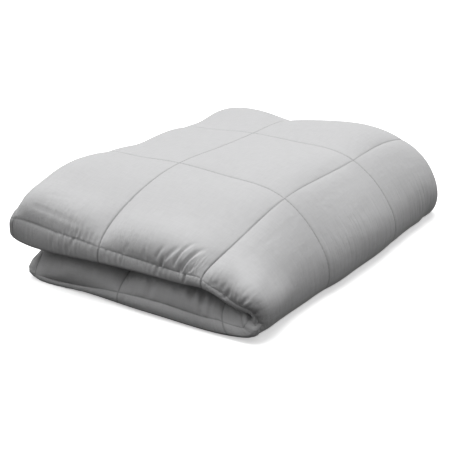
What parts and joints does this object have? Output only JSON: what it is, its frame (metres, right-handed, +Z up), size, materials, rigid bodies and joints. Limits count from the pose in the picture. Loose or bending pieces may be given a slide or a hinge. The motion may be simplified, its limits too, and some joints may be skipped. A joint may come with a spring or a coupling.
{
  "type": "weighted blanket",
  "caption": "Quilted cotton weighted blanket with square filled pockets and a topstitched hem, folded in half both ways into a neat stack of layers that lies flat.",
  "frame": {"origin": "middle of the folded blanket's box, on the surface that it lies on", "axes": "+Z up; +Y towards the back fold, along the folded blanket's long side; the four hems face -Y; the side fold is at +X"},
  "size_m": [0.404, 0.5626, 0.1468],
  "materials": {
    "cotton": "matt plain-weave grey cotton, softly wrinkled, with grey stitching"
  },
  "bodies": {
    "root": {"blanket": "cotton"}
  },
  "joints": []
}
